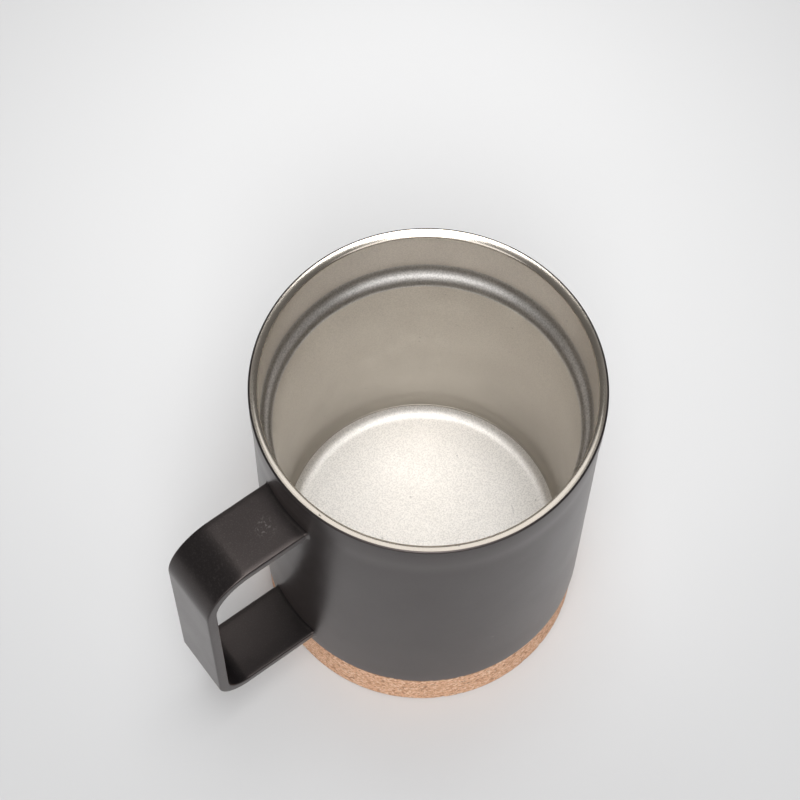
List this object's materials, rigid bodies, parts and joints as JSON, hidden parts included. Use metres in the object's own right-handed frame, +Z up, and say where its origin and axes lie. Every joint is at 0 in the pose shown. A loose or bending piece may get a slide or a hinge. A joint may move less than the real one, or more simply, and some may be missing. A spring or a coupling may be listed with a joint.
{
  "type": "travel mug",
  "caption": "Double-walled steel travel mug with a black coated shell, bare steel inside, flat welded strap handle and cork base.",
  "frame": {"origin": "on the table, under the mug's axis: the centre of the cork's flat underside", "axes": "+Z up the mug's axis and out of its mouth, +X from the axis towards the handle"},
  "size_m": [0.1136, 0.085, 0.1082],
  "materials": {
    "shell_coat": "matte",
    "handle_coat": "matte",
    "satin_steel": "satin",
    "blasted_steel": "blasted",
    "polished_steel": "polished",
    "mill_steel": "mill",
    "solder_glass": "gloss",
    "getter_alloy": "sintered",
    "cork": "natural",
    "adhesive": "matte"
  },
  "bodies": {
    "root": {"outer_shell": "shell_coat", "outer_bottom": "mill_steel", "base_weld": "mill_steel", "inner_liner": "satin_steel", "inner_bottom": "blasted_steel", "floor_weld": "satin_steel", "rim_weld": "polished_steel", "seal_bead": "solder_glass", "getter_pellet": "getter_alloy", "getter_clip": "mill_steel", "handle_strap": "handle_coat", "upper_handle_weld": "handle_coat", "lower_handle_weld": "handle_coat", "cork_base": "cork", "adhesive_disc": "adhesive"}
  },
  "joints": []
}
